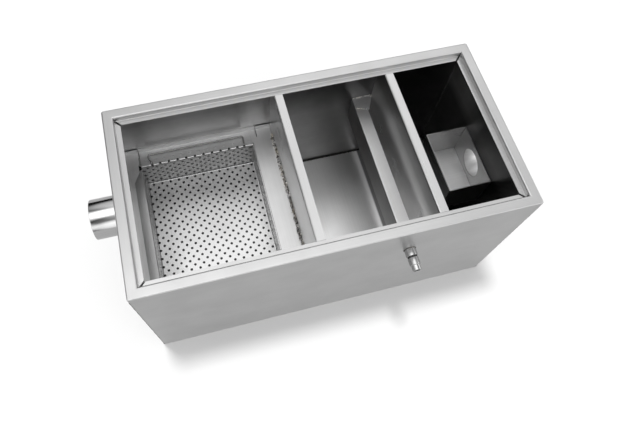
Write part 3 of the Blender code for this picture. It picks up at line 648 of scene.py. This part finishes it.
def weld_steel(name, tone, roughness, scale_tone=0.3):
    """Fused metal: bright crests, dark scale in between and a bronze tint here and there."""
    material = bpy.data.materials.new(name)
    material.use_nodes = True
    graph = Graph(material.node_tree)
    shader = material.node_tree.nodes["Principled BSDF"]
    shader.inputs["Metallic"].default_value = 1.0
    shader.inputs["Roughness"].default_value = roughness
    scale = graph.noise((260.0, 260.0, 260.0), 4.0, 0.6)
    tint = graph.noise((60.0, 60.0, 60.0), 2.0, 0.5)
    value = graph.ranged(scale, scale_tone * tone, 1.15 * tone, 0.40, 0.56)
    colour = graph.add("ShaderNodeCombineColor")
    graph.join(value, colour.inputs["Red"])
    graph.join(graph.math('MULTIPLY', value, graph.ranged(tint, 0.93, 1.0)), colour.inputs["Green"])
    graph.join(graph.math('MULTIPLY', value, graph.ranged(tint, 0.82, 1.02)), colour.inputs["Blue"])
    graph.join(colour.outputs["Color"], shader.inputs["Base Color"])
    return material


def punched_sheet(name, outline, holes, creases, fold):
    """A sheet cut to an outline, with holes, folded by a function of (x, y, side) along creases."""
    points = [Vector(point) for point in outline]
    edges = [(k, (k + 1) % len(outline)) for k in range(len(outline))]
    for hole in holes:
        start = len(points)
        points += [Vector(point) for point in hole]
        edges += [(start + k, start + (k + 1) % len(hole)) for k in range(len(hole))]
    for line in creases:
        start = len(points)
        points += [Vector(point) for point in line]
        edges.append((start, start + 1))
    rings = [list(range(len(outline)))]
    start = len(outline)
    for hole in holes:
        rings.append(list(range(start, start + len(hole))))
        start += len(hole)
    flat, _, triangles, _, _, sources = delaunay_2d_cdt(points, edges, rings, 0, 1e-7)
    kept = [face for face, source in zip(triangles, sources) if source == [0]]

    builder = bmesh.new()
    layers = [[builder.verts.new(fold(point.x, point.y, side)) for point in flat] for side in (1, -1)]
    uses = {}
    for face in kept:
        builder.faces.new([layers[0][k] for k in face])
        builder.faces.new([layers[1][k] for k in reversed(face)])
        for a, b in zip(face, list(face[1:]) + [face[0]]):
            uses[(a, b)] = True
    for a, b in uses:
        if (b, a) not in uses:
            cut_edge = builder.faces.new([layers[0][b], layers[0][a], layers[1][a], layers[1][b]])
            cut_edge.material_index = 1
    loose = [corner for corner in builder.verts if not corner.link_faces]
    bmesh.ops.delete(builder, geom=loose, context='VERTS')
    bmesh.ops.recalc_face_normals(builder, faces=builder.faces)
    mesh = bpy.data.meshes.new(name)
    builder.to_mesh(mesh)
    builder.free()
    mesh.shade_smooth()
    mesh.set_sharp_from_angle(angle=SHARP_ANGLE)
    return link(name, mesh)


def circle(centre, radius, sides):
    return [(centre[0] + radius * math.cos(2 * math.pi * k / sides),
             centre[1] + radius * math.sin(2 * math.pi * k / sides)) for k in range(sides)]


def make_basket():
    """The strainer: one perforated sheet, punched flat and then folded."""
    low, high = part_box("basket")
    left = low.x + LEFT_FLANGE + SHEET
    right = high.x - SHEET
    half = high.y - BACK_FLANGE - SHEET
    floor_top = low.z + SHEET
    wall_top = high.z - SHEET - FLANGE_BEND
    floor_left, floor_right = left + FLOOR_BEND, right - FLOOR_BEND
    floor_half = half - FLOOR_BEND
    foot_radius = FLOOR_BEND + SHEET / 2
    head_radius = FLANGE_BEND + SHEET / 2
    foot_arc = foot_radius * math.pi / 2
    head_arc = head_radius * math.pi / 2
    wall_flat = wall_top - floor_top - FLOOR_BEND
    wall_end = foot_arc + wall_flat
    head_end = wall_end + head_arc

    def profile(run):
        """Where a point of the sheet's middle ends up: distance out, height and slope."""
        if run <= 0:
            return run, 0.0, 0.0
        if run < foot_arc:
            turn = run / foot_radius
            return foot_radius * math.sin(turn), foot_radius * (1 - math.cos(turn)), turn
        if run < wall_end:
            return foot_radius, foot_radius + run - foot_arc, math.pi / 2
        wall_height = foot_radius + wall_flat
        if run < head_end:
            turn = (run - wall_end) / head_radius
            return (foot_radius + head_radius * (1 - math.cos(turn)),
                    wall_height + head_radius * math.sin(turn), math.pi / 2 - turn)
        return foot_radius + head_radius + run - head_end, wall_height + head_radius, 0.0

    def fold(x, y, side):
        runs = {'left': floor_left - x, 'right': x - floor_right,
                'back': y - floor_half, 'front': -floor_half - y}
        wing = max(runs, key=runs.get)
        out, up, slope = profile(runs[wing])
        lift = side * SHEET / 2
        out -= lift * math.sin(slope)
        up += lift * math.cos(slope)
        height = floor_top - SHEET / 2 + up
        if runs[wing] <= 0:
            return (x, y, height)
        if wing == 'left':
            return (floor_left - out, y, height)
        if wing == 'right':
            return (floor_right + out, y, height)
        return (x, floor_half + out, height) if wing == 'back' else (x, -floor_half - out, height)

    # The blank's outline, anticlockwise from the front left corner of the floor
    side_edge = half - WALL_EDGE_GAP
    flange_x = low.x
    over_left = left - SHEET - BACK_FLANGE_OVERLAP
    long_end = head_end + BACK_FLANGE - FLANGE_BEND
    relief = head_end + CORNER_RELIEF - FLANGE_BEND
    left_end = head_end + LEFT_FLANGE - FLANGE_BEND
    root = half - LEFT_FLANGE_INSET
    tip = root - LEFT_FLANGE_CHAMFER
    quarter_back = [(right + SHEET, floor_half + foot_arc), (right + SHEET, floor_half + wall_end),
                    (right, floor_half + head_end), (right, floor_half + long_end),
                    (over_left, floor_half + long_end), (over_left, floor_half + relief),
                    (left, floor_half + head_end), (left - SHEET, floor_half + wall_end),
                    (left - SHEET, floor_half + foot_arc)]
    left_side = [(floor_left - foot_arc, side_edge), (floor_left - wall_end, side_edge),
                 (floor_left - wall_end, root), (floor_left - relief, root), (floor_left - left_end, tip)]
    right_side = [(floor_right + foot_arc, -side_edge), (floor_right + wall_end, -side_edge)]
    outline = [(floor_left, -floor_half)]
    outline += [(x, -y) for x, y in reversed(quarter_back)]
    outline += [(floor_right, -floor_half)] + right_side
    outline += [(x, -y) for x, y in reversed(right_side)] + [(floor_right, floor_half)]
    outline += quarter_back + [(floor_left, floor_half)] + left_side
    outline += [(x, -y) for x, y in reversed(left_side)]

    creases = []
    reach = left_end + 2 * HOLE_PITCH
    for step in range(BEND_STEPS + 1):
        foot = foot_arc * step / BEND_STEPS
        head = wall_end + head_arc * step / BEND_STEPS
        for run in (foot, head):
            creases.append(((floor_left - run, -half), (floor_left - run, half)))
            creases.append(((floor_right + run, -half), (floor_right + run, half)))
            for side in (-1, 1):
                creases.append(((left - reach, side * (floor_half + run)),
                                (right + reach, side * (floor_half + run))))

    # Slots for the handle, then the pattern's holes that clear them and the edges
    slot_low = floor_half + foot_arc + (HANDLE_Z - HANDLE_SLOT_WIDTH / 2) - floor_top - FLOOR_BEND
    slot_high = floor_half + head_end + HANDLE_Y + HANDLE_SLOT_WIDTH / 2 - half - SHEET - FLANGE_BEND
    slots = []
    for slot_x in (HANDLE_LEFT_X, HANDLE_RIGHT_X):
        radius = HANDLE_SLOT_WIDTH / 2
        arc = [math.pi * k / 8 for k in range(9)]
        upper_end = [(slot_x + radius * math.cos(t), slot_high - radius + radius * math.sin(t)) for t in arc]
        lower_end = [(slot_x - radius * math.cos(t), slot_low + radius - radius * math.sin(t)) for t in arc]
        slots.append(upper_end + lower_end)
    holes = list(slots)
    clear = HOLE_DIAMETER / 2 + HOLE_MARGIN
    back_row = half - FIRST_ROW_INSET
    first_column = left + FIRST_HOLE_INSET
    for row in HOLE_ROWS:
        y = back_row - row * ROW_PITCH
        for column in HOLE_COLUMNS:
            if (row + column) % 2:
                continue
            centre = Vector((first_column + column * HOLE_PITCH / 2, y))
            if not inside(centre, outline, clear):
                continue
            beside_slot = any(abs(centre.x - x) < clear + HANDLE_SLOT_WIDTH / 2
                              for x in (HANDLE_LEFT_X, HANDLE_RIGHT_X))
            if beside_slot and slot_low - clear < y < slot_high + clear:
                continue
            holes.append(circle(centre, HOLE_DIAMETER / 2, HOLE_SIDES))
    basket = punched_sheet("strainer_basket", outline, holes, creases, fold)
    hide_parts("basket")
    return basket


def inside(point, outline, clear):
    """Whether a point lies inside an outline and at least a distance away from its edge."""
    crossings = 0
    for (ax, ay), (bx, by) in zip(outline, outline[1:] + outline[:1]):
        if (ay > point.y) != (by > point.y):
            if point.x < ax + (bx - ax) * (point.y - ay) / (by - ay):
                crossings += 1
        edge = Vector((bx - ax, by - ay))
        share = max(0.0, min(1.0, (point - Vector((ax, ay))).dot(edge) / edge.length_squared))
        if (point - Vector((ax, ay)) - edge * share).length < clear:
            return False
    return crossings % 2 == 1


def rounded_path(corners, radii, steps):
    corners = [Vector(corner) for corner in corners]
    path = [corners[0]]
    for before, corner, after, radius in zip(corners, corners[1:], corners[2:], radii):
        arriving = (corner - before).normalized()
        leaving = (after - corner).normalized()
        turn = arriving.angle(leaving)
        start = corner - arriving * radius * math.tan(turn / 2)
        inward = (leaving - arriving * arriving.dot(leaving)).normalized()
        for step in range(steps + 1):
            part = turn * step / steps
            path.append(start + arriving * radius * math.sin(part) + inward * radius * (1 - math.cos(part)))
    path.append(corners[-1])
    return path


BASKET_LOW, BASKET_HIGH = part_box("basket")
WIRE_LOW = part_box("basket_handle")[0]
WIRE = HANDLE_WIRE / 2
HANDLE_LEFT_X = BASKET_LOW.x + LEFT_FLANGE + SHEET + HANDLE_LEFT_INSET
HANDLE_RIGHT_X = BASKET_HIGH.x - SHEET - HANDLE_RIGHT_INSET
HANDLE_Y = WIRE_LOW.y + WIRE
HANDLE_Z = WIRE_LOW.z + WIRE
# Painted shade on the basket's left flange
BASKET_FLANGE_SHADE = ("X", BASKET_LOW.x + LEFT_FLANGE + SHEET, BASKET_LOW.x + LEFT_FLANGE, 0.62)


def make_handle():
    rest = BASKET_HIGH.z + FIT_GAP + WIRE
    reach = HANDLE_Y + HANDLE_REACH
    corners = [(HANDLE_LEFT_X + HANDLE_END, HANDLE_Y, HANDLE_Z), (HANDLE_LEFT_X, HANDLE_Y, HANDLE_Z),
               (HANDLE_LEFT_X, HANDLE_Y, rest), (HANDLE_LEFT_X - HANDLE_LEFT_SPLAY, reach, rest),
               (HANDLE_RIGHT_X + HANDLE_RIGHT_SPLAY, reach, rest), (HANDLE_RIGHT_X, HANDLE_Y, rest),
               (HANDLE_RIGHT_X, HANDLE_Y, HANDLE_Z), (HANDLE_RIGHT_X - HANDLE_END, HANDLE_Y, HANDLE_Z)]
    radii = [HANDLE_BEND, HANDLE_BEND, HANDLE_CORNER, HANDLE_CORNER, HANDLE_BEND, HANDLE_BEND]
    wire = bpy.data.curves.new("bail", 'CURVE')
    wire.dimensions = '3D'
    wire.bevel_depth = WIRE
    wire.bevel_resolution = 6
    wire.use_fill_caps = True
    path = rounded_path(corners, radii, 8)
    spline = wire.splines.new('POLY')
    spline.points.add(len(path) - 1)
    for point, target in zip(spline.points, path):
        point.co = (*target, 1.0)
    bail = link("bail_wire", wire)
    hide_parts("basket_handle")
    return bail


def soften_edges(piece):
    """A slight bevel on cut edges, as after deburring."""
    edge = piece.modifiers.new("deburred", 'BEVEL')
    edge.width = EDGE_BREAK
    edge.segments = 2
    edge.limit_method = 'ANGLE'
    edge.angle_limit = EDGE_BREAK_ANGLE
    edge.harden_normals = True


def dress_nodes():
    """Gives each CAD node that stays its own finish, with tones set as painted light and shade."""
    # Tones from 0.36 to 0.94 for one steel are painted light on the floors and painted shade on the outlet
    # box; each side tone is painted shade on upright faces
    finishes_and_shade = {
        "base_plate": ("Y", 0.86, 0.36, None), "partition_1": ("Y", 0.64, 0.30, 0.55),
        "partition_2": ("Y", 0.64, 0.30, 0.46), "baffle": ("Y", 0.74, 0.40, 0.31),
        "baffle_gusset": ("X", 0.84, 0.45, None), "basket_shelf": ("Y", 0.79, 0.42, None),
        "outlet_box_wrap": ("X", 0.50, 0.30, None), "outlet_box_floor": ("X", 0.94, 0.50, None),
        "outlet_box_back": ("Y", 0.36, 0.34, None),
    }
    for node, (along, tone, roughness, painted_side_shade) in finishes_and_shade.items():
        made = nodes[node]
        made.data.materials.clear()
        made.data.materials.append(brushed_steel(node + "_finish", tone, roughness, along,
                                                 painted_side_shade=painted_side_shade, shade_zones=NODE_SHADE_ZONES.get(node, [])))
        soften_edges(made)
    rubber = bpy.data.materials.new("seal_finish")
    rubber.use_nodes = True
    shader = rubber.node_tree.nodes["Principled BSDF"]
    shader.inputs["Base Color"].default_value = (0.02, 0.02, 0.02, 1.0)
    shader.inputs["Roughness"].default_value = 0.6
    nodes["plug_seal"].data.materials.clear()
    nodes["plug_seal"].data.materials.append(rubber)


def make_camera():
    data = bpy.data.cameras.new("camera")
    data.sensor_width = 36.0
    data.lens = CAMERA_LENS_MM
    data.shift_x, data.shift_y = CAMERA_SHIFT
    data.clip_start = 0.01
    data.clip_end = 50.0
    camera = link("camera", data)
    camera.location = CAMERA_PLACE
    camera.rotation_mode = 'QUATERNION'
    level = CAMERA_LOOK.to_track_quat('-Z', 'Y')
    camera.rotation_quaternion = level @ Quaternion((0.0, 0.0, 1.0), CAMERA_ROLL)
    bpy.context.scene.camera = camera


def make_lights():
    """Soft panels of light round the zenith for the steel, and a lamp for the paper under it."""
    world = bpy.data.worlds.new("studio")
    bpy.context.scene.world = world
    world.use_nodes = True
    graph = Graph(world.node_tree)
    world.node_tree.nodes.clear()
    place = graph.add("ShaderNodeTexCoord")
    total = ROOM_LEVEL
    for tilt, turn, strength in SOFT_PANELS:
        tilt, turn = math.radians(tilt), math.radians(turn)
        towards = graph.add("ShaderNodeVectorMath", operation='DOT_PRODUCT')
        graph.join(place.outputs["Generated"], towards.inputs[0])
        towards.inputs[1].default_value = (math.sin(tilt) * math.cos(turn), math.sin(tilt) * math.sin(turn),
                                           math.cos(tilt))
        level = graph.add("ShaderNodeMapRange", interpolation_type='SMOOTHSTEP')
        graph.join(towards.outputs["Value"], level.inputs["Value"])
        level.inputs["From Min"].default_value = math.cos(PANEL_EDGE)
        level.inputs["From Max"].default_value = 1.0
        level.inputs["To Min"].default_value = 0.0
        level.inputs["To Max"].default_value = strength
        total = graph.math('ADD', total, level.outputs["Result"])
    room = graph.add("ShaderNodeBackground")
    graph.join(total, room.inputs["Strength"])
    paper = graph.add("ShaderNodeBackground")
    path = graph.add("ShaderNodeLightPath")
    choose = graph.add("ShaderNodeMixShader")
    graph.join(path.outputs["Is Camera Ray"], choose.inputs["Fac"])
    graph.join(room.outputs["Background"], choose.inputs[1])
    graph.join(paper.outputs["Background"], choose.inputs[2])
    paper.inputs["Color"].default_value = (1.0, 1.0, 1.0, 1.0)
    out = graph.add("ShaderNodeOutputWorld")
    graph.join(choose.outputs["Shader"], out.inputs["Surface"])
    data = bpy.data.lights.new("paper_lamp", 'SUN')
    data.angle = LAMP_WIDTH
    data.energy = LAMP_POWER
    lamp = link("paper_lamp", data)
    lamp.rotation_mode = 'QUATERNION'
    lamp.rotation_quaternion = (-LAMP_FROM).to_track_quat('-Z', 'Y')
    lamp.visible_glossy = False


def make_floor():
    reach = 6.0
    mesh = bpy.data.meshes.new("floor")
    mesh.from_pydata([(-reach, -reach, 0), (reach, -reach, 0), (reach, reach, 0), (-reach, reach, 0)], [],
                     [(0, 1, 2, 3)])
    floor = link("floor", mesh)
    floor.location.z = -0.0003
    material = bpy.data.materials.new("paper_floor")
    material.use_nodes = True
    graph = Graph(material.node_tree)
    material.node_tree.nodes.clear()
    paper = graph.add("ShaderNodeBsdfDiffuse")
    glow = graph.add("ShaderNodeEmission")
    path = graph.add("ShaderNodeLightPath")
    tone = graph.ranged(path.outputs["Is Glossy Ray"], FLOOR_TONE, MIRRORED_TONE, 0.0, 1.0)
    graph.join(tone, paper.inputs["Color"])
    shown = graph.math('MULTIPLY', path.outputs["Is Camera Ray"], FLOOR_GLOW)
    mirrored = graph.math('MULTIPLY', path.outputs["Is Glossy Ray"], MIRRORED_GLOW)
    graph.join(graph.math('ADD', shown, mirrored), glow.inputs["Strength"])
    both = graph.add("ShaderNodeAddShader")
    graph.join(paper.outputs["BSDF"], both.inputs[0])
    graph.join(glow.outputs["Emission"], both.inputs[1])
    out = graph.add("ShaderNodeOutputMaterial")
    graph.join(both.outputs["Shader"], out.inputs["Surface"])
    mesh.materials.append(material)


dress_nodes()
make_round_pieces()
make_panels()
make_welds()
basket = make_basket()
# The strainer's upright walls take painted shade from the side tone, its left flange from the flange area
finish_piece(basket, "tank",
             brushed_steel("strainer_finish", 0.72, 0.34, "Y", 0.01, 0.05, 0.003,
                           painted_side_shade=0.46, shade_zones=[BASKET_FLANGE_SHADE]))
# Near-black cut edges of the sheet and its holes: painted shade, which makes the holes read black
basket.data.materials.append(brushed_steel("punched_edge_shade", 0.22, 0.45, "Z", 0.10))
bail = make_handle()
finish_piece(bail, "handle", brushed_steel("bail_finish", 0.30, 0.14, "X"))
make_camera()
make_lights()
make_floor()
bpy.context.scene.view_settings.view_transform = 'Standard'
